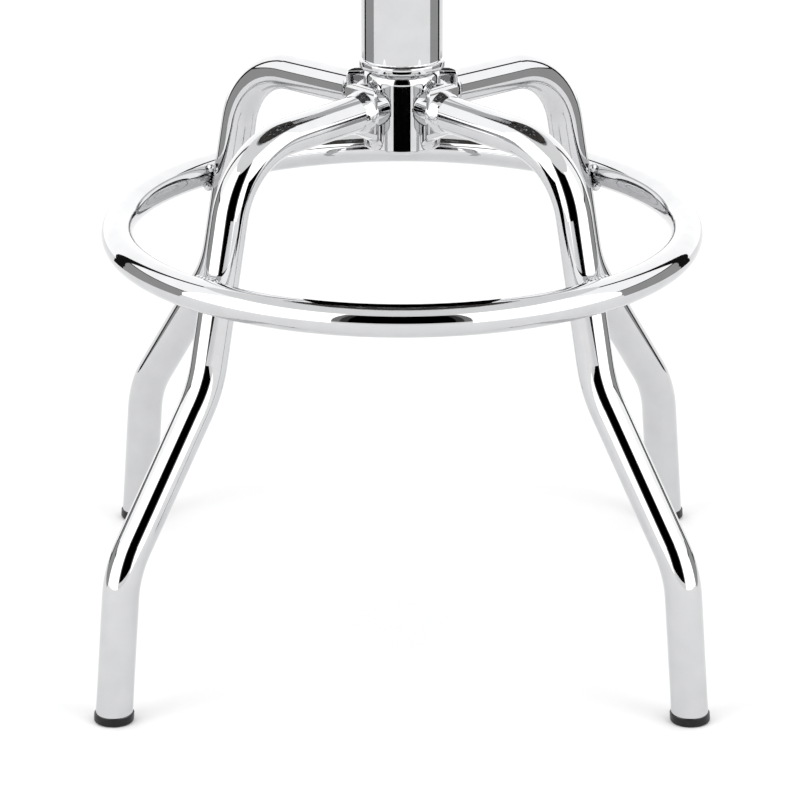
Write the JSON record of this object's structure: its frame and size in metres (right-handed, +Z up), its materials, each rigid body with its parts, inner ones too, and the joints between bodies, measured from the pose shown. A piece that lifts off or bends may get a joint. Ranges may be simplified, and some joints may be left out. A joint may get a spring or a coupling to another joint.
{
  "type": "swivel bar stool",
  "caption": "Bar stool with a round padded swivel seat on a short column, a cast hub, splayed bent tube legs and an outer footrest ring.",
  "frame": {"origin": "on the floor under the column's centre line", "axes": "+Z up along the column, -Y towards the front of the stool, +X to the right seen from the front"},
  "size_m": [0.4198, 0.4198, 0.7582],
  "materials": {
    "chrome_plate": "polished",
    "black_plastic": "moulded, fine grain",
    "black_paint": "satin",
    "zinc_plate": "bright zinc",
    "bearing_steel": "ground",
    "plywood": "sanded",
    "foam": "open cell foam",
    "vinyl": "grained vinyl"
  },
  "bodies": {
    "base": {"leg_front_left": "chrome_plate", "leg_front_right": "chrome_plate", "leg_rear_left": "chrome_plate", "leg_rear_right": "chrome_plate", "foot_cap_front_left": "black_plastic", "foot_cap_front_right": "black_plastic", "foot_cap_rear_left": "black_plastic", "foot_cap_rear_right": "black_plastic", "footrest_ring": "chrome_plate", "ring_welds": "chrome_plate", "hub": "chrome_plate", "hub_welds": "chrome_plate", "hub_bolt": "zinc_plate", "hub_washer": "zinc_plate", "hub_lock_washer": "zinc_plate", "column_foot": "chrome_plate", "column_tube": "chrome_plate", "column_welds": "chrome_plate", "column_plate": "black_paint", "swivel_lower_plate": "black_paint", "swivel_pivot": "zinc_plate", "swivel_bolts": "zinc_plate", "swivel_washers": "zinc_plate", "swivel_nuts": "zinc_plate"},
    "ball_carrier": {"swivel_balls": "bearing_steel", "swivel_ball_cage": "zinc_plate"},
    "seat": {"swivel_upper_plate": "black_paint", "seat_screws": "zinc_plate", "seat_tee_nuts": "zinc_plate", "seat_board": "plywood", "seat_foam": "foam", "seat_cover": "vinyl", "seat_welt": "vinyl", "seat_band": "chrome_plate", "seat_band_screws": "zinc_plate"}
  },
  "joints": [
    {"name": "seat_swivel", "type": "hinge", "parent": "base", "child": "seat", "pos_m": [0, 0, 0.66066], "axis": [0, 0, 1], "continuous": true},
    {"name": "ball_carrier_turn", "type": "hinge", "parent": "base", "child": "ball_carrier", "pos_m": [0, 0, 0.65713], "axis": [0, 0, 1], "continuous": true}
  ],
  "couplings": [
    {"joint": "ball_carrier_turn", "follows": "seat_swivel", "ratio": 0.5}
  ]
}
